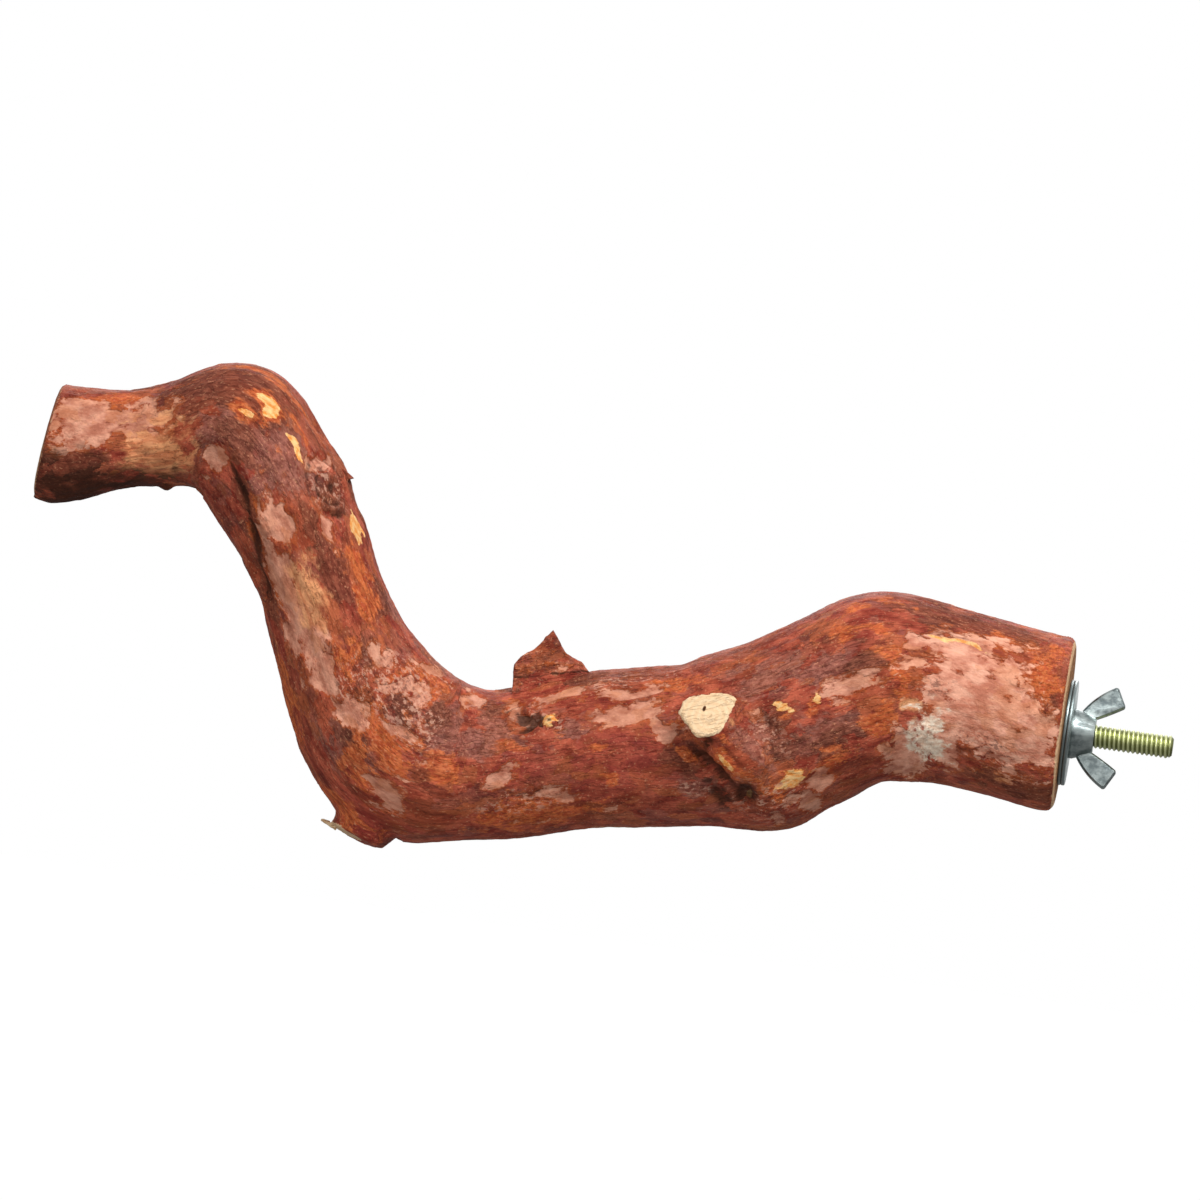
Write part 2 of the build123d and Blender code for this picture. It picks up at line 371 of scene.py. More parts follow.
# %% Ragged end of the pruned twig
twig_root = np.array((-76.8, -8.9, -24.2))
twig_face = np.array((-95.2, -29.2, -9.1))
twig_normal = np.array((-0.287, -0.882, 0.375))
twig_face_radius = 7.9
stub_inside, stub_outside = 10.5, 13
twig_outline = (5.4, 8.6, 6.4, 5.2, 5.5, 7.6, 8.2, 6.6, 7.2, 6.2, 5.5, 4.9)
front_right = np.array(image_right)
front_up = np.array(image_up)


def unit(vector):
    return vector / np.linalg.norm(vector)


def rightward(normal):
    """Direction in a face that points to the photograph's right."""
    return unit(front_right - normal * (front_right @ normal))


twig_axis = unit(twig_face - twig_root)
twig_right = rightward(twig_normal)
twig_up = np.cross(twig_normal, twig_right)
twig_shift = -0.5 * twig_right + 1.4 * twig_up


def stub_places(points):
    """How far out along the stub each point lies, and where on its face it belongs, in millimetres."""
    offset = points / mm - twig_face
    slide = -(offset @ twig_normal) / (twig_axis @ twig_normal)
    return np.linalg.norm(twig_face - twig_root) - slide, offset + slide[:, None] * twig_axis


def stub_share(points, start, end):
    """1 on the stub, 0 on the limb."""
    out, aside = stub_places(points)
    return smooth_step(out, start, end) * (1 - smooth_step(np.linalg.norm(aside, axis=1), stub_inside, stub_outside))


wood_points = points_of(branch)
aside = stub_places(wood_points)[1]
seen_angle = np.arctan2(aside @ front_up, aside @ front_right)
seen_share = np.hypot(aside @ front_up, aside @ front_right) / np.maximum(np.linalg.norm(aside, axis=1), 0.01)
steps = np.radians(np.arange(-360, 720, 30))
wanted = np.interp(seen_angle, steps, twig_outline * 3) / np.maximum(twig_face_radius * seen_share, 1)
end_share = stub_share(wood_points, 19, 28)
wood_points += (aside * (wanted - 1)[:, None] + twig_shift) * (end_share * mm)[:, None]
twig_slit = twig_shift - 0.9 * twig_right + 1.2 * twig_up

# %% [markdown]
# The fork under the heel was sawn off so that its cut faces the floor. From the front only a thin pale line of it
# shows, on the left half. So the stump's front is drawn down and its back up until the cut is seen nearly on edge,
# and its right corner is rounded.

# %% Sawn stump under the heel
heel_face = np.array((-186.9, 1.8, -54.6))
heel_normal = np.array((-0.329, -0.276, -0.903))
heel_pivot = 3.5
heel_drop = 0.20
heel_corner_start = 4.0
heel_rounding = 0.08
heel_top, heel_rim = -9, -1
heel_inside, heel_outside = 9, 12
heel_offset = wood_points / mm - heel_face
heel_height = heel_offset @ heel_normal
heel_reach = np.linalg.norm(heel_offset - heel_height[:, None] * heel_normal, axis=1)
heel_share = smooth_step(heel_height, heel_top, heel_rim)
heel_share *= 1 - smooth_step(heel_reach, heel_inside, heel_outside)
heel_corner = np.clip(heel_offset @ front_right - heel_corner_start, 0, None)
wood_points -= heel_normal * (heel_share * heel_rounding * heel_corner**2 * mm)[:, None]
wood_points[:, 2] -= heel_share * heel_drop * (heel_pivot * mm - wood_points[:, 1])
heel_face = heel_face - np.array((0, 0, heel_drop * (heel_pivot - heel_face[1])))
heel_normal = unit(heel_normal + np.array((0, -heel_drop * heel_normal[2], 0)))
heel_right = rightward(heel_normal)
move_points(branch, wood_points)
wood_places = limb_places(wood_points)
print("twig and heel shaped, heel cut faces", heel_normal.round(2))

# %% [markdown]
# Each sawn face is a plane. A point close to such a plane and near its middle is sawn wood. The cuts of butt and
# arm are older and browner, with drying checks, and those of the twig and the fork under the heel are fresh and
# pale. On the butt, whose face lies in shade, that brown is also painted shade. Most cuts have a pale rim. At the
# arm's cut the bark reaches the edge.

# %% Sawn faces
heel_cut_shift = 4.2
cut_near, cut_far = 0.45, 0.85
cut_margin = 1.12
rim_start, rim_end = 0.88, 0.95
# Middle, normal and radius of each cut, its age from 0 to 1, and 1 where the bark reaches its edge
saw_faces = (
    ((-1.0, 0, 2), (1, 0, 0), 23.0, 1.0, 0),
    ((-285.2, 7.2, 39.4), (-0.993, 0, 0.118), 15.8, 0.8, 1),
    (tuple(twig_face), tuple(twig_normal), 10.5, 0.0, 0),
    (tuple(heel_face - heel_cut_shift * heel_right), tuple(heel_normal), 5.4, 0.3, 0),
)


def saw_marks(points):
    """Four marks (share of sawn wood, nearness to the rim, age, bark at the edge), and the place across the cut."""
    marks = np.zeros((len(points), 4))
    across = np.zeros((len(points), 3))
    for centre, normal, radius, age, barked in saw_faces:
        normal = unit(np.array(normal))
        offset = points / mm - np.array(centre)
        height = offset @ normal
        flat = offset - height[:, None] * normal
        reach = np.linalg.norm(flat, axis=1)
        share = (1 - smooth_step(abs(height), cut_near, cut_far)) * (reach < radius * cut_margin)
        here = share > 0.01
        across[here] = flat[here]
        rim = smooth_step(reach / radius, rim_start, rim_end)
        marks[here] = np.stack(np.broadcast_arrays(share, rim, age, barked), 1)[here]
    return marks, across


saw_marks_of_wood, across = saw_marks(wood_points)
sawn = saw_marks_of_wood[:, 0]
print("sawn points", int((sawn > 0.5).sum()))

# %% [markdown]
# ## Layers of the bark
# The bark peels in layers. Dark plates lie on top, red-brown, wine-red and mauve bark under them, then an orange
# inner layer that shows at torn edges, and a smooth pink or tan skin where all of it has flaked off. Lichen, pale
# spots, dark holes, orange strips and a groove down the neck come over them. The main patches are placed
# where the photograph shows them: distance along the limb from the butt in millimetres, turn about the limb in
# degrees from the front towards the top, then half of the patch's length and half of its girth in millimetres.

# %% Patches placed on the limb
pink_patches = (
    (322, 20, 13, 7), (327, 47, 3, 3), (279, -30, 4, 4), (241, -26, 9, 5), (228, -28, 9, 5), (216, -20, 8, 5),
    (254, -14, 6, 5), (211, 33, 4, 3), (203, 38, 4, 6), (196, 44, 3.4, 4.5), (201, 65, 3, 4), (201, -8, 4, 5),
    (191, 9, 3, 4), (183, -37, 4, 6), (162, 59, 5, 3), (147, 40, 3, 5), (135, 50, 6, 2.5), (118, 27, 10, 3),
    (118, 45, 8, 2), (109, 9, 3, 3), (143, -32, 8, 2), (155, -11, 5, 2.5), (72, -45, 3.5, 3.5), (58, 9, 7, 3),
    (25, 10, 16, 13), (16, -15, 17, 9), (47, -56, 10, 9), (41, 32, 3, 1.6), (32, 37, 6, 1.5), (31, 47, 2, 1.5),
    (306, 16, 10, 7), (264, 50, 1.6, 5), (248, 30, 3.6, 2.2), (32, -28, 7, 9), (81, -53, 3, 2.2),
)
orange_patches = (
    (315, 55, 10, 2.5), (282, 22, 2.6, 2.5), (279, 38, 3.6, 3), (281, 70, 5, 2.5), (270, 46, 4, 1.2),
    (259, -19, 6, 1.8), (233, 43, 10, 4), (210, -75, 12, 5), (216, 2, 4, 4), (199, 5, 3.5, 3.5),
    (193, 54, 4, 7), (190, -3, 8, 8), (189, -36, 4, 4), (173, -1, 8, 4), (151, 10, 5, 1.5),
    (126, -22, 2.8, 2.8), (147, -48, 17, 6), (105, 48, 8, 2.5), (93, -13, 2, 3), (79, -39, 4, 2.5),
    (54, 64, 3, 3), (47, 65, 4, 2), (57, 44, 3, 3.5), (50, 44, 3.5, 2.5), (46, 28, 3, 2), (69, 5, 2.2, 2.2),
    (46, 7, 1.7, 6), (53, -16, 5, 5), (68, -37, 6, 4.5), (24, 50, 3.5, 3.5), (6, 55, 4, 3), (10, 30, 8, 9),
    (315, 52, 11, 3), (81, -38, 4.5, 3.2), (187, -72, 6, 5),
)
tan_patches = ((303, -14, 12, 9), (235, -11, 9, 4.5), (42, -12, 3, 3))
plate_patches = (
    (305, 33, 2.5, 1.6), (327, -40, 16, 14), (286, 39, 13, 7), (276, -2, 7, 6), (237, 22, 9, 5),
    (226, 57, 6, 4.5), (214, 20, 4.5, 3.5), (196, 26, 4.5, 4.5), (183, 37, 6.5, 4.5), (195, -23, 4.5, 5),
    (154, 51, 4.5, 4), (131, 72, 5.5, 2.5), (106, -9, 5, 4), (80, -8, 7, 9), (53, 20, 5.5, 3.7),
    (30, 62, 16, 8), (67, -25, 8, 4), (16, 28, 3, 3.5), (4, 14, 4, 4.5), (8, -52, 13, 8), (256, 50, 6, 5),
    (281, 67, 6, 5), (286, 51, 8, 5), (263, -28, 9, 2.6), (252, -41, 10, 3.0), (240, -55, 10, 3),
    (249, 16, 8, 1.5), (235, 11, 9, 1.5), (178, 37, 4, 3),
)
pale_patches = (
    (76, 5, 2.3, 1.6), (246, 64, 5.2, 1.9), (268, 32, 3.4, 0.9), (279, 38, 2.0, 1.7), (282, 22, 1.1, 1.0),
    (32, 38, 5, 0.8), (80, -38, 3.2, 2.4), (68, 7, 1.7, 1.4),
)
grey_patches = ((37, -34, 7, 7.5),)
# The two patches under the arm are painted shade: its underside and the shadow line along it
dark_patches_and_painted_shade = ((146, 35, 3.0, 3.0), (327, -70, 15, 15), (309, -80, 13, 11))
pale_spots = ((139, 28, 2.8, 2.6),)
dark_holes = (
    (304, -74, 4.0, 4.6), (139, 28, 0.9, 0.9), (146, 35, 3.0, 2.8), (257, 48, 1.9, 2.2), (110, 165, 2.6, 2.6),
    (230, 150, 2.4, 2.4),
)
orange_strips = ((205.0, 38, 2.2, 8), (201.5, 54, 4.5, 3.4), (193.5, 61, 8, 2.8), (213, -3, 10, 2.0))
# Points of the groove, with distance along the limb and turn
neck_groove = ((238, -56), (248, -45), (257, -35), (266, -27), (276, -22))
mauve_patches = (
    (108, 10, 3.5, 3), (102, -35, 5, 3.5), (155, 29, 5, 7), (134, 18, 4, 3), (79, 31, 8, 5.5), (62, 23, 8, 6),
    (71, -22, 6, 4.5), (162, 17, 14, 5), (193, -26, 8, 8), (284, -5, 5.5, 8), (269, 13, 9, 9), (222, 72, 6, 5),
    (67, -17, 8, 6), (194, 22, 6, 7), (184, 37, 6, 4.5), (178, 22, 11, 8), (172, 42, 8, 5),
)
wine_patches = (
    (121, -3, 14, 8), (151, -7, 10, 6), (128, -33, 11, 4), (234, 22, 8.5, 4), (176, 44, 6, 4), (183, -63, 7, 6),
)
fleck_patches = (
    (200, 34, 15, 11), (206, 4, 9, 6), (186, 22, 10, 8), (18, -27, 12, 5), (36, 4, 5, 4), (259, 46, 8, 7),
    (86, -46, 9, 5), (145, 36, 5, 5), (138, 20, 4, 3), (150, -34, 14, 4), (118, 60, 16, 3), (102, -35, 6, 3),
    (81, -52, 5, 4.5), (120, 170, 30, 14), (215, 160, 25, 14), (40, -160, 25, 14), (300, 170, 20, 12),
)
groove_start, groove_end = (230, 242), (272, 280)
groove_width = 1.5
groove_painted_shade = 0.64
# How far noise moves the patches along and around the limb, in millimetres
patch_wave, patch_sway = 3.4, 2.6


def patch_reach(along, turn, radius, middle, middle_turn, half_length, half_girth):
    """Distance from the middle of a patch: 0 there and 1 at its edge."""
    around = (turn - math.radians(middle_turn) + math.pi) % (2 * math.pi) - math.pi
    return np.hypot((along - middle) / half_length, radius * around / half_girth)


def patch_depth(patches, along, turn, radius):
    """1 in the middle of a patch, 0 at its edge and below 0 outside, for the deepest of a list of patches."""
    depth = np.full(len(along), -1.5)
    for patch in patches:
        depth = np.maximum(depth, 1 - patch_reach(along, turn, radius, *patch))
    return depth


def groove_share(places):
    """1 on the groove that winds down the neck, fading out beside it and at both ends."""
    along, front, up = places.T
    groove_along, groove_turn = np.array(neck_groove).T
    turn = np.arctan2(up, front) - np.radians(np.interp(along, groove_along, groove_turn))
    ends = smooth_step(along, *groove_start) * (1 - smooth_step(along, *groove_end))
    return ends * np.exp(-((np.hypot(front, up) * turn / groove_width) ** 2))


def bark_layers(places):
    """Each layer's share at each point: 0.5 is its edge, which the finish then frays."""
    along, front, up = places.T
    radius = np.hypot(front, up)
    wave = grain_noise(places, 5, 1.6, 1)
    sway = grain_noise(places, 5, 1.6, 2)
    fray = grain_noise(places, 2.6, 1.5, 3)
    along = along + patch_wave * wave
    turn = np.arctan2(up, front) + patch_sway * sway / np.maximum(radius, 4)
    behind = smooth_step(-front / np.maximum(radius, 1), -0.4, 0.2)

    def layer(patches, wild_size, wild_stretch, seed, wild_level):
        """Listed patches, and wild ones where noise rises over a level, more of them at the back."""
        wild = grain_noise(places, wild_size, wild_stretch, seed)
        hand = patch_depth(patches, along, turn, radius)
        depth = np.maximum(hand, (wild - wild_level - 0.3 * (1 - behind)) * 2.2)
        return np.clip(0.5 + 0.5 * (depth + 0.38 * fray), 0, 1)

    def spot(patches):
        """Patches with plain edges, which no noise moves."""
        return np.clip(0.3 + 0.7 * patch_depth(patches, places[:, 0], np.arctan2(up, front), radius), 0, 1)

    # The neck's groove is painted dark, a painted shade in the furrow
    holes_and_painted_groove_shade = np.maximum(spot(dark_holes), groove_painted_shade * groove_share(places))
    strips = spot(orange_strips)
    return {
        "pink": layer(pink_patches, 9, 2.2, 4, 0.46) * (1 - 0.95 * smooth_step(strips, 0.35, 0.60)),
        "orange": np.maximum(layer(orange_patches, 6, 2.5, 5, 0.56), strips),
        "plate": layer(plate_patches, 11, 2.0, 6, 0.42),
        "tan": layer(tan_patches, 12, 2.0, 7, 0.60),
        "pale": np.maximum(layer(pale_patches, 2.5, 2.0, 8, 1.10), spot(pale_spots)),
        "grey": layer(grey_patches, 7, 1.5, 9, 1.10),
        "flecks": smooth_step(patch_depth(fleck_patches, along, turn, radius), -0.2, 0.5),
        "mauve": layer(mauve_patches, 10, 2.0, 18, 0.50),
        "wine": layer(wine_patches, 12, 2.4, 19, 0.55),
        "dark": np.maximum(layer(dark_patches_and_painted_shade, 4, 6.0, 10, 0.75), holes_and_painted_groove_shade),
    }


wood_layers = bark_layers(wood_places)
print({name: round(float((share > 0.5).mean()), 2) for name, share in wood_layers.items()})

# %% [markdown]
# The twig's stub has bark of its own. From the front it lies like a finger on the limb: a shadow line runs along
# its lower left side, torn orange strips lie beside that line, a grey ridge on top, and a dark hole under the cut.
# The shadow line, the hole, a pit and a hollow by the stub's root are painted dark, a painted shade. These marks
# are placed by the distance out from the stub's root and the distance to its lower left side.

# %% Bark of the stub
stub_run = unit(np.array((twig_axis @ front_right, twig_axis @ front_up)))
stub_marks = {
    # The dark marks are painted shade: the shadow line on the stub's lower left, the hole under the cut, a pit and a
    # hollow
    "dark": ((16, 9.0, 11, 1.2), (19.4, 5.4, 1.7, 1.9), (2.4, 8.0, 3.6, 3.0), (8, 12.8, 5, 2.2)),
    "orange": ((13, 5.2, 7, 2.0), (22, 11.5, 3, 1.4), (-3, 1.5, 3.4, 1.8), (18, 1.5, 2.5, 1.0), (4, 3.5, 3, 1)),
    "pale": ((12.8, 5.4, 4.0, 0.7), (1.2, 8.4, 0.7, 0.7)),
    "plate": ((20, 13, 6, 3),),
    "pink": ((-11, -3.5, 3.4, 2.8), (-8, 6, 2, 1.6)),
    "flecks": ((2.4, 8.0, 4, 3), (-4, 5, 5, 4), (10, -8.5, 5, 3)),
    "mauve": ((11, -2.4, 10, 2.8), (9, -8, 8, 4)),
}
stub_folds = (
    (15, 9.0, 11, 1.6, -2.4), (19.4, 5.5, 2.0, 1.9, -2.0), (2.4, 8.0, 3.4, 3.0, -2.4), (8, 13, 6, 3, -1.2),
    (11, -9.6, 9, 2.2, -1.1), (11, -2.4, 9, 2.4, 0.9), (12, 3.6, 6, 0.8, -0.6),
)


def stub_reach(middle_out, middle_side, half_out, half_side):
    """Distance of each point of the wood from the middle of a mark on the stub: 1 at the mark's edge."""
    return np.hypot((out - middle_out) / half_out, (side - middle_side) / half_side)


stub_offset = wood_points / mm - twig_root
stub_seen = np.stack((stub_offset @ front_right, stub_offset @ front_up), 1)
out = stub_seen @ stub_run + 0.5 * grain_noise(wood_places, 2.0, 1.0, 15)
side = stub_seen @ np.array((-stub_run[1], stub_run[0])) + 0.5 * grain_noise(wood_places, 2.0, 1.0, 16)
in_front = smooth_step(wood_places[:, 1], 1, 6)
on_stub = stub_share(wood_points, 8, 16)
wood_layers["plate"] = wood_layers["plate"] * (1 - on_stub) + 0.40 * on_stub
wood_layers["pink"] = wood_layers["pink"] * (1 - on_stub) + 0.30 * on_stub
for name, rows in stub_marks.items():
    for row in rows:
        mark = np.clip(1 - 0.5 * stub_reach(*row), 0, 1) * in_front
        wood_layers[name] = np.maximum(wood_layers[name], mark)

# %% [markdown]
# ## Relief
# The surface is pushed along its normals: slow lumps, flutes that run with the grain, a step down wherever bark has
# flaked off, and the marks that a branch collects. These are knots, the hollows beside the pruned twig, long
# furrows that wind down the neck and a small nub under the arm. Each row has the place and half sizes of a mark
# as the patches have them, and its height in millimetres. Folds of bark ring the larger knots. Low places and folds
# are also painted darker, a painted shade.

# %% Lumps, flutes, flakes and knots
knots = (
    (146, 35, 3.2, 3.4, -2.0), (148, 42, 5, 5, 0.7), (136, 48, 8, 3, 0.7), (139, 28, 2.2, 2.0, 0.8),
    (257, 46, 9, 8, 0.8), (256, 48, 3.2, 3.2, -1.4), (269, 80, 8, 8, -1.7), (251, 80, 5, 6, -0.8),
    (142, 80, 12, 5, 1.5), (274, -23, 7, 2.4, -1.2), (265, -28, 8, 2.6, -1.7), (253, -39, 9, 2.8, -2.0),
    (241, -55, 9, 3.0, -2.2), (266, -14, 8, 3.0, 0.8), (254, -22, 9, 3.4, 1.0), (249, 16, 8, 1.6, -1.0),
    (236, 11, 9, 1.6, -1.0), (258, 8, 9, 2.4, 0.7), (240, -4, 12, 2.6, 0.6), (59, 8, 5, 12, -1.0),
    (64, -17, 7, 5, -1.1), (304, -77, 1.6, 1.4, 1.6), (250, -82, 10, 6, -0.9), (237, -88, 6, 6, -1.1),
    (105, 88, 7, 10, -1.0), (58, -88, 7, 10, -1.1), (168, -88, 10, 10, -0.9), (110, 165, 8, 8, 1.2),
    (110, 165, 3, 3, -1.8), (230, 150, 7, 7, 1.0), (230, 150, 2.6, 2.6, -1.4), (40, -150, 9, 8, 1.1),
)
mark_falloff = 1.6
neck_start, neck_end = (205, 235), (275, 300)
flute_height, neck_flute_height = 0.26, 0.45
lump_height, grain_height = 0.40, 0.16
flake_step, plate_step = 0.40, 0.25
fold_depth, fold_lip = 0.9, 0.5
# Painted shade: how dark the low places and the folds round knots are painted
hollow_painted_shade, fold_painted_shade = 0.34, 0.58
bolt_hole_radius, bolt_hole_end = 4.5, -50
# Folds of bark that ring the larger knots
knot_folds = (
    (257, 47, 7.5, 6.5), (257, 47, 4.6, 4.2), (147, 36, 4.9, 4.6), (139, 28, 2.4, 2.2), (110, 165, 7, 7),
    (230, 150, 6, 6),
)


def relief(places, layers):
    """Height of the bark over the CAD solid at each point, and the painted shade of the low places and folds it lies
    in.
    """
    along, front, up = places.T
    radius = np.hypot(front, up)
    turn = np.arctan2(up, front)
    neck = smooth_step(along, *neck_start) * (1 - smooth_step(along, *neck_end))
    marks = (flute_height + neck_flute_height * neck) * grain_noise(places, 4.5, 7, 12)
    for *mark, rise in knots:
        marks += rise * np.exp(-mark_falloff * patch_reach(along, turn, radius, *mark) ** 2)
    folds = np.zeros(len(along))
    for ring in knot_folds:
        reach = patch_reach(along, turn, radius, *ring)
        fold = np.exp(-(((reach - 1) / 0.16) ** 2))
        marks -= fold_depth * fold - fold_lip * np.exp(-(((reach - 0.72) / 0.14) ** 2))
        folds = np.maximum(folds, fold)
    height = marks + lump_height * grain_noise(places, 13, 1.6, 11)
    height += grain_height * grain_noise(places, 1.9, 1.8, 13, 3)
    height -= flake_step * smooth_step(layers["pink"], 0.42, 0.58)
    height += plate_step * smooth_step(layers["plate"], 0.45, 0.60)
    return height, np.maximum(hollow_painted_shade * smooth_step(-marks, 0.25, 1.8), fold_painted_shade * folds)


height, painted_shade_of_hollows = relief(wood_places, wood_layers)
# The dark layer takes this painted shade of low places and folds
wood_layers["dark"] = np.clip(wood_layers["dark"] + painted_shade_of_hollows, 0, 1)
height *= 1 - 0.6 * on_stub
for *mark, rise in stub_folds:
    height += rise * np.exp(-mark_falloff * stub_reach(*mark) ** 2) * in_front
height *= 1 - sawn
from_axis = np.hypot(wood_points[:, 1], wood_points[:, 2])
height[(from_axis < bolt_hole_radius * mm) & (wood_points[:, 0] > bolt_hole_end * mm)] = 0
move_points(branch, pushed_out(branch, wood_points, height))
print("relief from", round(height.min(), 2), "to", round(height.max(), 2), "mm")


# %% Attributes for the finish
def write_numbers(piece, name, kind, values):
    """Stores values on a mesh's points, where a finish can read them."""
    attribute = piece.data.attributes.new(name, kind, "POINT")
    field = "vector" if kind == "FLOAT_VECTOR" else "color"
    attribute.data.foreach_set(field, values.astype(np.float32).ravel())


# Each colour attribute holds four layers. The last two of tints only fill it up.
layer_groups = {
    "layers": ("pink", "orange", "plate", "tan"),
    "marks": ("pale", "grey", "dark", "flecks"),
    "tints": ("mauve", "wine", "wine", "wine"),
}


def write_bark(piece, places, layers, cuts=None, across=None):
    """Stores what the bark finish reads. A piece with no sawn face needs no cuts."""
    count = len(places)
    write_numbers(piece, "limb", "FLOAT_VECTOR", places)
    write_numbers(piece, "across", "FLOAT_VECTOR", np.zeros((count, 3)) if across is None else across)
    write_numbers(piece, "cuts", "FLOAT_COLOR", np.zeros((count, 4)) if cuts is None else cuts)
    for name, group in layer_groups.items():
        write_numbers(piece, name, "FLOAT_COLOR", np.stack([layers[part] for part in group], 1))
    pick(piece)
    bpy.ops.object.shade_smooth()


write_bark(branch, wood_places, wood_layers, saw_marks_of_wood, across)

# %% [markdown]
# ## Bark finish
# The layers' shares are frayed by fine noise and laid over each other in the order in which they grow. The same
# masks drive the bump, so that a flake's edge catches light, and the roughness, so that the peeled skin has a
# satin sheen and the plates look dry. Colours are written as a screen shows them, from 0 to 255.


# %% Bark material
def paint(*shown):
    """Colour for a shader from the red, green and blue that a screen shows."""
    shares = [value / 255 for value in shown]
    return tuple(s / 12.92 if s < 0.04045 else ((s + 0.055) / 1.055) ** 2.4 for s in shares)


def fine_noise(vector, scale, detail=4.0, roughness=0.6):
    return put("ShaderNodeTexNoise", Vector=vector, Scale=scale, Detail=detail, Roughness=roughness).outputs[0]


def stretched(vector, along):
    return put("ShaderNodeMapping", Vector=vector, Scale=(along, 1, 1)).outputs[0]


def attribute(name):
    node = tree.nodes.new("ShaderNodeAttribute")
    node.attribute_name = name
    return node


def around_zero(value):
    return minus(value, 0.5)


def channels(colour):
    return put("ShaderNodeSeparateColor", Color=colour).outputs


def vector_maths(operation, *values):
    node = tree.nodes.new("ShaderNodeVectorMath")
    node.operation = operation
    for socket, value in zip(node.inputs, values):
        feed(socket, value)
    return node.outputs["Value" if operation == "LENGTH" else "Vector"]


def shaken(vector, scale, amount):
    """Places that are shaken by noise, so that what is drawn on them gets torn edges."""
    shake = put("ShaderNodeTexNoise", Vector=vector, Scale=scale, Detail=3.0, Roughness=0.65)
    return vector_maths("MULTIPLY_ADD", shake.outputs["Color"], (amount, amount, amount), vector)


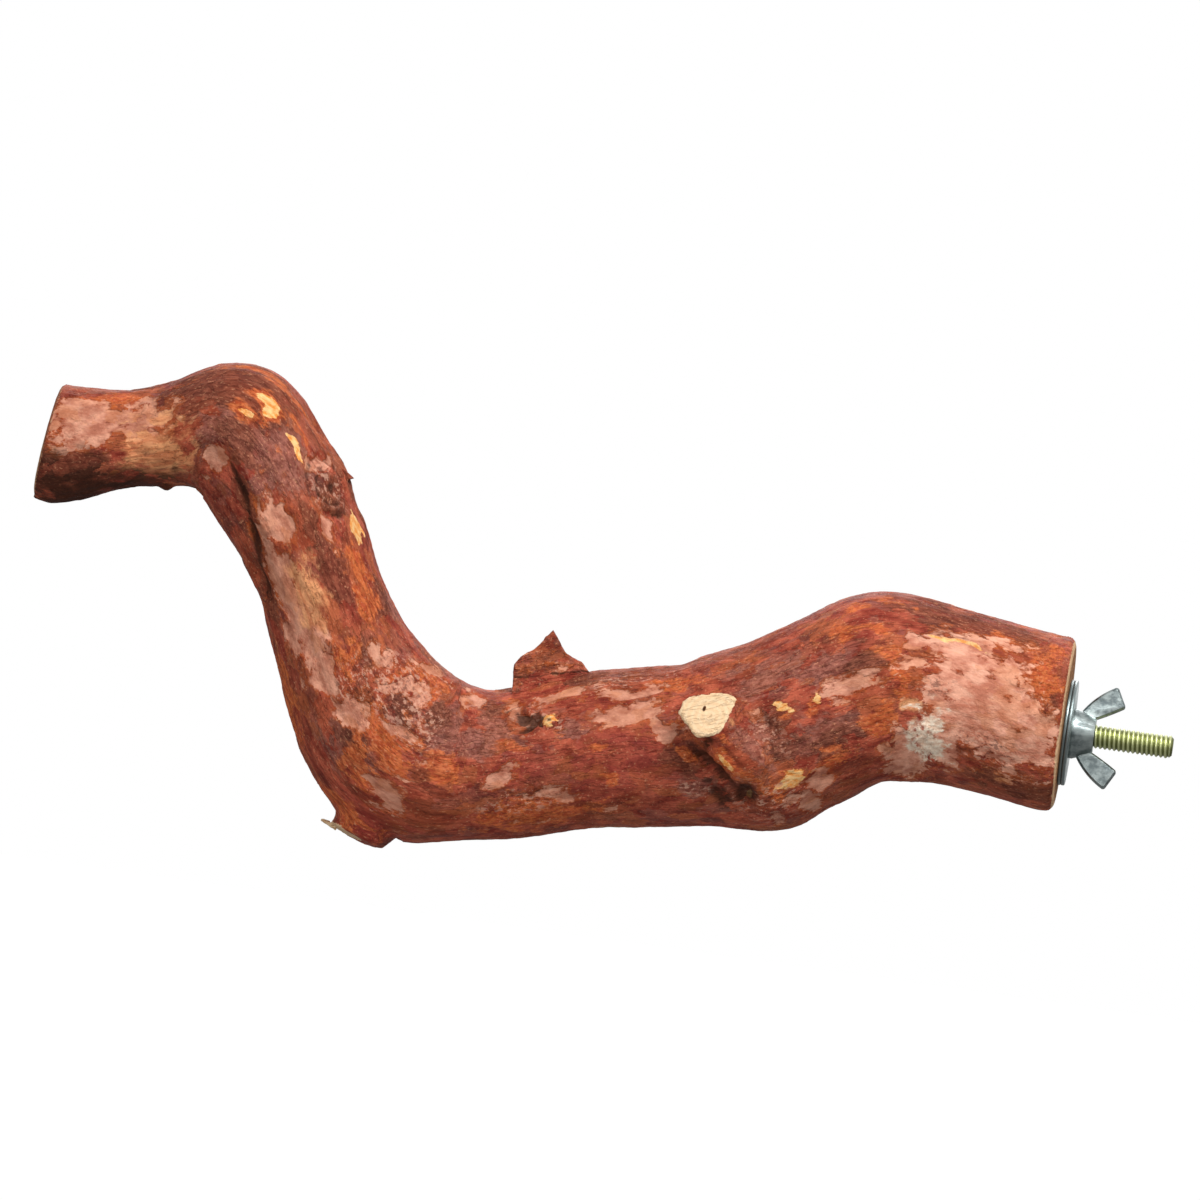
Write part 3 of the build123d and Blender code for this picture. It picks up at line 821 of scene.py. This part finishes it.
def bark_finish():
    """Bark in all its layers, with sawn wood where a cut is marked."""
    material, shader = new_finish("flaking_bark")
    limb = attribute("limb").outputs["Vector"]
    layers = attribute("layers")
    first = channels(layers.outputs["Color"])
    marks = attribute("marks")
    second = channels(marks.outputs["Color"])
    saw = attribute("cuts")
    cuts = channels(saw.outputs["Color"])
    tints = channels(attribute("tints").outputs["Color"])

    grain = stretched(limb, 0.6)
    streak = fine_noise(stretched(limb, 0.16), 0.7)
    crack = fine_noise(stretched(limb, 0.13), 0.5, 3.0)
    torn = shaken(shaken(grain, 0.25, 5.0), 1.1, 1.6)
    scale = channels(put("ShaderNodeTexVoronoi", Vector=torn, Scale=0.30).outputs["Color"])
    flake = fine_noise(grain, 0.30)
    crumb = fine_noise(grain, 1.0)
    speck = fine_noise(stretched(limb, 0.7), 1.7, 2.0)
    slow = fine_noise(stretched(limb, 0.6), 0.07, 2.0)

    fray = times(around_zero(flake), 0.55)
    fray = plus(fray, times(around_zero(crumb), 0.45))
    fray = plus(fray, times(around_zero(scale[0]), 0.30))

    def mask(share, low=0.44, high=0.58):
        """A layer's share with its edge frayed."""
        return ease(plus(share, fray), low, high)

    def shades(value, deep, bright, low=0.36, high=0.64):
        """Goes from a deep to a bright shade as a noise value rises."""
        return blend(ease(value, low, high), paint(*deep), paint(*bright))

    def lay(base, share, strength, top):
        """Lays a colour over another, as strongly as a mask and a number say."""
        return blend(times(share, strength), base, top)

    pink = mask(first[0])
    rim = minus(mask(first[0], 0.34, 0.46), pink, clamp=True)
    orange = mask(first[1], 0.42, 0.64)
    plate = mask(first[2], 0.42, 0.68)
    tan = mask(layers.outputs["Alpha"], 0.38, 0.76)
    pale = mask(second[0], 0.46, 0.56)
    grey = mask(second[1], 0.40, 0.64)
    dark = mask(second[2], 0.40, 0.80)
    mauve = mask(tints[0], 0.42, 0.62)
    wine = mask(tints[1], 0.40, 0.74)

    mottle = plus(times(flake, 0.8), times(streak, 0.2))
    red = shades(mottle, (136, 46, 36), (186, 90, 68))
    red = lay(red, ease(scale[0], 0.55, 0.75), 0.45, paint(142, 86, 76))
    red = lay(red, ease(scale[1], 0.70, 0.85), 0.50, paint(184, 100, 62))
    red = lay(red, ease(scale[2], 0.75, 0.90), 0.45, paint(96, 36, 28))
    red = lay(red, ease(slow, 0.42, 0.62), 0.3, paint(168, 84, 46))
    plates = shades(crumb, (90, 42, 30), (142, 80, 60), high=0.66)
    oranges = shades(crumb, (184, 74, 38), (230, 122, 66))
    pinks = shades(flake, (188, 116, 92), (222, 158, 132))
    # Painted light: the pink skin is painted lighter near the butt and a little at the arm's end, where light falls
    pinks_with_painted_light = shades(flake, (208, 128, 102), (236, 174, 148))
    along = put("ShaderNodeSeparateXYZ", Vector=limb).outputs[0]
    ends = maths("MAXIMUM", ease(along, 70, 35), times(ease(along, 300, 318), 0.2))
    pinks = blend(ends, pinks, pinks_with_painted_light)
    pinks = lay(pinks, ease(scale[1], 0.55, 0.80), 0.35, paint(206, 128, 86))
    tans = shades(streak, (206, 124, 82), (236, 164, 114))
    greys = shades(crumb, (222, 186, 160), (242, 222, 200))
    pales = shades(crumb, (232, 142, 64), (248, 200, 138))

    wines = shades(flake, (136, 47, 42), (166, 71, 58))
    mauves = shades(crumb, (116, 64, 54), (166, 106, 92), high=0.66)
    colour = lay(red, wine, 0.80, wines)
    colour = lay(colour, mauve, 0.72, mauves)
    colour = lay(colour, plate, 0.75, plates)
    colour = lay(colour, orange, 0.66, oranges)
    colour = lay(colour, rim, 0.55, paint(178, 82, 36))
    colour = lay(colour, pink, 0.84, pinks)
    colour = lay(colour, tan, 0.84, tans)
    colour = blend(grey, colour, greys)
    colour = blend(pale, colour, pales)

    bare = maths("MAXIMUM", maths("MAXIMUM", pink, pale), grey)
    covered = minus(1.0, times(bare, 0.85))
    cracks = ease(maths("ABSOLUTE", around_zero(crack)), 0.022, 0.004)
    cracks = times(cracks, covered)
    colour = lay(colour, cracks, 0.20, paint(66, 28, 18))
    colour = lay(colour, ease(speck, 0.59, 0.71), 0.42, paint(226, 158, 120))
    colour = lay(colour, ease(speck, 0.42, 0.30), times(covered, 0.5), paint(90, 36, 24))
    fleck = fine_noise(grain, 0.75, 3.0, 0.7)
    flecks = times(marks.outputs["Alpha"], ease(fleck, 0.53, 0.60))
    holes = times(marks.outputs["Alpha"], ease(fleck, 0.46, 0.40))
    colour = lay(colour, flecks, 0.60, paint(226, 172, 148))
    colour = lay(colour, holes, 0.55, paint(78, 40, 34))
    # The dark layer is dark bark, and also painted shade: in low places, folds, the neck's groove, under the arm, by
    # the stub and on the flap's crease
    colour = lay(colour, dark, 0.85, paint(50, 24, 14))
    worn = plus(times(flake, 0.7), 0.65)
    colour = put("ShaderNodeHueSaturation", Color=colour, Hue=0.502, Value=worn).outputs[0]

    # Sawn wood: rings, stains, drying checks on old cuts, and the slit in the twig's face
    across = attribute("across").outputs["Vector"]
    from_pith = vector_maths("LENGTH", across)
    wobble = times(fine_noise(across, 0.22, 3.0), 7.0)
    ring = maths("SINE", plus(times(from_pith, 3.4), wobble))
    ring = ease(ring, -0.6, 0.9)
    fresh = blend(ring, paint(246, 208, 164), paint(250, 217, 176))
    # The brown of old cuts is partly painted shade, for the butt's face, which lies in shade
    aged_and_shaded_wood = blend(ring, paint(150, 98, 62), paint(186, 136, 94))
    wood = blend(cuts[2], fresh, aged_and_shaded_wood)
    stained = plus(0.25, times(cuts[2], 0.3))
    wood = lay(wood, ease(fine_noise(across, 1.2), 0.56, 0.72), stained, paint(176, 112, 62))
    outward = vector_maths("NORMALIZE", shaken(across, 0.4, 0.6))
    spoke = maths("ABSOLUTE", around_zero(fine_noise(outward, 1.5, 2.0)))
    check = ease(times(spoke, from_pith), 0.20, 0.05)
    check = times(check, ease(fine_noise(across, 0.16, 2.0), 0.44, 0.54))
    wood = lay(wood, check, times(cuts[2], 0.7), paint(72, 42, 26))
    slit_shape = Vector((1.6, 1.6, 0.7))
    slit_place = [-place * shape for place, shape in zip(twig_slit, slit_shape)]
    slit = put("ShaderNodeMapping", Vector=across, Location=slit_place, Scale=slit_shape)
    slit = ease(vector_maths("LENGTH", slit.outputs[0]), 0.95, 0.55)
    wood = lay(wood, slit, ease(cuts[2], 0.2, 0.1), paint(84, 48, 26))
    wood_rim = blend(saw.outputs["Alpha"], paint(236, 196, 154), paint(128, 62, 44))
    wood = lay(wood, cuts[1], 0.8, wood_rim)
    colour = blend(ease(cuts[0], 0.35, 0.65), colour, wood)

    dry = maths("MAXIMUM", plate, cuts[0])
    rough = plus(0.62, times(dry, 0.14))
    rough = minus(rough, times(pink, 0.12))
    rough = plus(rough, times(around_zero(crumb), 0.25))

    level = plus(times(crumb, 0.70), times(streak, 0.12))
    level = plus(level, times(scale[0], 0.30))
    level = minus(level, times(pink, 0.55))
    level = plus(level, times(plate, 0.35))
    level = minus(level, times(cracks, 0.4))
    bump = put("ShaderNodeBump", Height=level, Strength=0.8, Distance=0.7 * mm).outputs[0]
    feed_all(shader, Base_Color=colour, Roughness=rough, Specular_IOR_Level=0.12, Normal=bump)
    return material


bark = bark_finish()


def dress(piece, material, body, node):
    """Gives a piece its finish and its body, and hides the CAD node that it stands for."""
    piece.data.materials.clear()
    piece.data.materials.append(material)
    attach(piece, body)
    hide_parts(node)
    print(piece.name, len(piece.data.polygons), "faces")


dress(branch, bark, "perch", "branch")

# %% [markdown]
# ## Loose bark
# A torn flap stands on top of the limb and a small chip beside the stem's knot. They are the same bark, so they
# share its finish. The flap's copy is remeshed more finely, bent a little and made uneven.

# %% Torn flap
flap_seat, flap_curl = -4.0, 0.006
flap_right_end = -129.4
flap_droop, flap_droop_length = 1.8, 4
flap_crease_x, flap_crease_height = -140, -3.7
flap_crease_slope, flap_crease_wave = 0.25, 0.6
flap_crease_width, flap_crease_painted_shade = 0.6, 0.74
# Share of each layer, and how much the flap's unevenness changes it
flap_layers = (
    ("pink", 0.34, 0.12), ("plate", 0.46, 0.30), ("orange", 0.34, 0.30), ("dark", 0.20, 0), ("mauve", 0.52, 0.25),
)
flap = copy_of("bark_flap", "torn_bark_flap")
remesh(flap, 0.3, 2)
points = points_of(flap)
lift = np.clip(points[:, 2] / mm - flap_seat, 0, None)
rough = np.array([noise.fractal(point / (2.2 * mm), 0.8, 2.0, 3) for point in points])
points = pushed_out(flap, points, 0.22 * rough)
points[:, 1] -= flap_curl * lift**2 * mm
places = limb_places(points)
layers = bark_layers(places)
for name, share, change in flap_layers:
    layers[name] = share + change * rough
droop = smooth_step(points[:, 0] / mm, flap_right_end - flap_droop_length, flap_right_end)
points[:, 2] -= flap_droop * droop * mm
move_points(flap, points)
# A dark line along the flap's crease is painted shade
crease = points[:, 2] / mm - flap_crease_height - flap_crease_slope * (points[:, 0] / mm - flap_crease_x)
crease -= flap_crease_wave * grain_noise(places, 4, 1, 17)
painted_crease_shade = flap_crease_painted_shade * np.exp(-((crease / flap_crease_width) ** 2))
layers["dark"] = np.maximum(layers["dark"], painted_crease_shade)
write_bark(flap, places, layers)
dress(flap, bark, "perch", "bark_flap")

# %% [markdown]
# The chip is a thorn of bark. Its back lies on the stem, its outside leaves the stem slowly towards the floor and
# then breaks off in a hook. A cube is cut into small squares, and each level of it gets its place on the stem and
# its thickness from a short list of heights.

# %% Lifted chip
chip_low, chip_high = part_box("bark_chip")
chip_foot = 39.8
chip_seat, chip_slope = -206.2, 0.8
chip_girth, chip_taper, chip_widest = 3.0, 0.5, 41
chip_levels = (39.8, 40.6, 41.2, 42.2, 44.3)
chip_reach = (0.6, 1.3, 3.3, 2.7, 1.0)
bpy.ops.mesh.primitive_cube_add(size=1)
chip = bpy.context.object
chip.name = "lifted_bark_chip"
edit(chip)
bpy.ops.mesh.subdivide(number_cuts=15)
done()
points = points_of(chip)
level = chip_foot + (points[:, 2] + 0.5) * (chip_high[2] / mm - chip_foot)
seat = chip_seat + chip_slope * (chip_high[2] / mm - level)
points = np.stack((
    seat + (points[:, 0] + 0.5) * np.interp(level, chip_levels, chip_reach),
    (chip_low[1] + chip_high[1]) / 2 / mm + points[:, 1] * (chip_girth - chip_taper * abs(level - chip_widest)),
    level,
), 1) * mm
move_points(chip, points)
remesh(chip, 0.2, 2)
points = points_of(chip)
places = limb_places(points)
layers = bark_layers(places)
layers["dark"] = 0.42 * np.ones(len(points))
write_bark(chip, places, layers)
dress(chip, bark, "perch", "bark_chip")


# %% Heel fibre
def bare_wood_finish():
    """Dry torn fibre: pale, with darker streaks along it."""
    material, shader = new_finish("torn_fibre")
    place = tree.nodes.new("ShaderNodeTexCoord").outputs["Object"]
    fibres = put("ShaderNodeMapping", Vector=place, Scale=(300, 3000, 3000)).outputs[0]
    streak = fine_noise(fibres, 1.0)
    colour = blend(ease(streak, 0.35, 0.65), paint(190, 146, 102), paint(236, 206, 166))
    bump = put("ShaderNodeBump", Height=streak, Strength=0.6, Distance=0.2 * mm).outputs[0]
    feed_all(shader, Base_Color=colour, Roughness=0.75, Specular_IOR_Level=0.2, Normal=bump)
    return material


splinter = copy_of("heel_splinter", "heel_fibre")
remesh(splinter, 0.15)
splinter_points = points_of(splinter)
ragged = np.array([noise.fractal(point / (0.9 * mm), 0.8, 2.0, 2) for point in splinter_points])
move_points(splinter, pushed_out(splinter, splinter_points, 0.12 * ragged))
pick(splinter)
bpy.ops.object.shade_smooth()
dress(splinter, bare_wood_finish(), "perch", "heel_splinter")

# %% [markdown]
# ## Hanger bolt
# One end of the bolt is a wood screw in the butt, the other a machine thread for the nut. A thread is a ridge that
# climbs one pitch in each turn. So a flat grid is rolled into a tube whose radius rises and falls with the distance
# along the bolt less the turn about it, which gives a right-hand thread without any joins.

# %% Rolled thread
thread_radius = 3.175
thread_pitch = 1.27
thread_depth = 0.50
bolt_end = 28.6
bolt_chamfer = 0.9
wood_thread_radius = 3.1
wood_thread_pitch = 2.6
wood_thread_depth = 0.8
wood_face = -1.3
lag_end = -41.0
lag_point = 8.0
root_flat, flank_share = 0.12, 0.70
lag_steps, thread_steps, turn_steps = 161, 290, 49
face_step = 0.05

bolt_along = np.concatenate((
    np.linspace(lag_end, wood_face, lag_steps),
    np.linspace(wood_face + face_step, bolt_end, thread_steps),
))
bolt_around = np.linspace(0, 2 * math.pi, turn_steps)
bpy.ops.mesh.primitive_grid_add(x_subdivisions=len(bolt_along) - 1, y_subdivisions=len(bolt_around) - 1, size=2)
bolt = bpy.context.object
bolt.name = "threaded_hanger_bolt"
flat = points_of(bolt)
column = np.rint((flat[:, 0] + 1) / 2 * (len(bolt_along) - 1)).astype(int)
row = np.rint((flat[:, 1] + 1) / 2 * (len(bolt_around) - 1)).astype(int)
along, around = bolt_along[column], bolt_around[row]


def ridge(pitch):
    """0 in the thread's root and 1 on its crest."""
    turns = (along / pitch - around / (2 * math.pi)) % 1
    return np.clip((1 - abs(2 * turns - 1) - root_flat) / flank_share, 0, 1)


machine = thread_radius - thread_depth * (1 - ridge(thread_pitch))
machine = np.minimum(machine, thread_radius - np.clip(along - (bolt_end - bolt_chamfer), 0, None))
screw = wood_thread_radius - wood_thread_depth * (1 - ridge(wood_thread_pitch))
screw = np.minimum(screw, wood_thread_radius * np.clip((along - lag_end) / lag_point, 0, 1))
radius = np.where(along > wood_face, machine, screw)
move_points(bolt, np.stack((along, radius * np.cos(around), radius * np.sin(around)), 1) * mm)
edit(bolt)
bpy.ops.mesh.remove_doubles(threshold=0.002 * mm)
bpy.ops.mesh.select_all(action="DESELECT")
bpy.ops.mesh.select_non_manifold()
bpy.ops.mesh.edge_face_add()
bpy.ops.mesh.select_all(action="SELECT")
bpy.ops.mesh.normals_make_consistent(inside=False)
done()
bpy.ops.object.shade_smooth_by_angle(angle=math.radians(50))

# %% [markdown]
# ## Plated metal
# The bolt is yellow zinc and the rest bright zinc. Plating is never even: it is cloudy and finely scratched. A
# painted shade darkens the thread's roots and the washers' rims, and a painted highlight lightens the nut's hub.
# One function makes all of these finishes, from two shades, a roughness, the distances from the bolt's axis between
# which the first shade gives way to the second, and how cloudy the plating is.


# %% Zinc finishes
def plated_finish(name, first_shade, second_shade, roughness, first_radius, second_radius, cloudiness):
    material, shader = new_finish(name)
    place = tree.nodes.new("ShaderNodeTexCoord").outputs["Object"]
    place = put("ShaderNodeMapping", Vector=place, Scale=(1 / mm, 1 / mm, 1 / mm)).outputs[0]
    parts = put("ShaderNodeSeparateXYZ", Vector=place).outputs
    radius = maths("SQRT", plus(times(parts[1], parts[1]), times(parts[2], parts[2])))
    cloud = fine_noise(place, 0.45, 3.0)
    scratch = fine_noise(put("ShaderNodeMapping", Vector=place, Scale=(0.5, 2, 6)).outputs[0], 1.2)
    # Painted shade and highlight: the shade changes with the distance from the bolt's axis
    painted_light_cloud_and_scratch = ease(radius, first_radius, second_radius)
    clouds = minus(1.0, times(ease(cloud, 0.35, 0.65), cloudiness))
    painted_light_cloud_and_scratch = times(painted_light_cloud_and_scratch, clouds)
    painted_light_cloud_and_scratch = plus(painted_light_cloud_and_scratch, times(around_zero(scratch), 0.5), clamp=True)
    colour = blend(painted_light_cloud_and_scratch, paint(*first_shade), paint(*second_shade))
    rough = plus(roughness, times(around_zero(cloud), 0.3))
    bump = put("ShaderNodeBump", Height=plus(scratch, cloud), Strength=0.25, Distance=0.1 * mm).outputs[0]
    feed_all(shader, Base_Color=colour, Metallic=1.0, Roughness=rough, Normal=bump)
    return material


# Painted shade in the thread's roots and on the washers' rims, and a painted highlight on the nut's hub
yellow_zinc = plated_finish("yellow_zinc", (104, 109, 62), (216, 220, 168), 0.42, 2.60, 3.10, 0.2)
washer_zinc = plated_finish("washer_zinc", (122, 132, 132), (184, 194, 192), 0.36, 14.4, 12.6, 0.4)
forged_zinc = plated_finish("forged_zinc", (184, 193, 190), (100, 109, 110), 0.34, 3.0, 7.0, 0.4)
dress(bolt, yellow_zinc, "perch", "hanger_bolt")

# %% [markdown]
# ## Washers and wing nut
# Both washers are stamped discs and the nut is a forging, so no edge of theirs is sharp. The copies of their CAD
# solids get narrow bevels on all edges that are not nearly flat.


# %% Washers and wing nut with broken edges
def hardware(node, name, bevel_width):
    piece = copy_of(node, name)
    edit(piece)
    bpy.ops.mesh.dissolve_limited(angle_limit=math.radians(1))
    done()
    modify(piece, "BEVEL", width=bevel_width * mm, segments=2, limit_method="ANGLE", angle_limit=math.radians(35))
    pick(piece)
    bpy.ops.object.shade_smooth_by_angle(angle=math.radians(40))
    return piece


dress(hardware("inner_washer", "inner_flat_washer", 0.08), washer_zinc, "perch", "inner_washer")
dress(hardware("outer_washer", "outer_flat_washer", 0.08), washer_zinc, "clamp_washer", "outer_washer")
dress(hardware("wing_nut", "forged_wing_nut", 0.16), forged_zinc, "thumb_nut", "wing_nut")
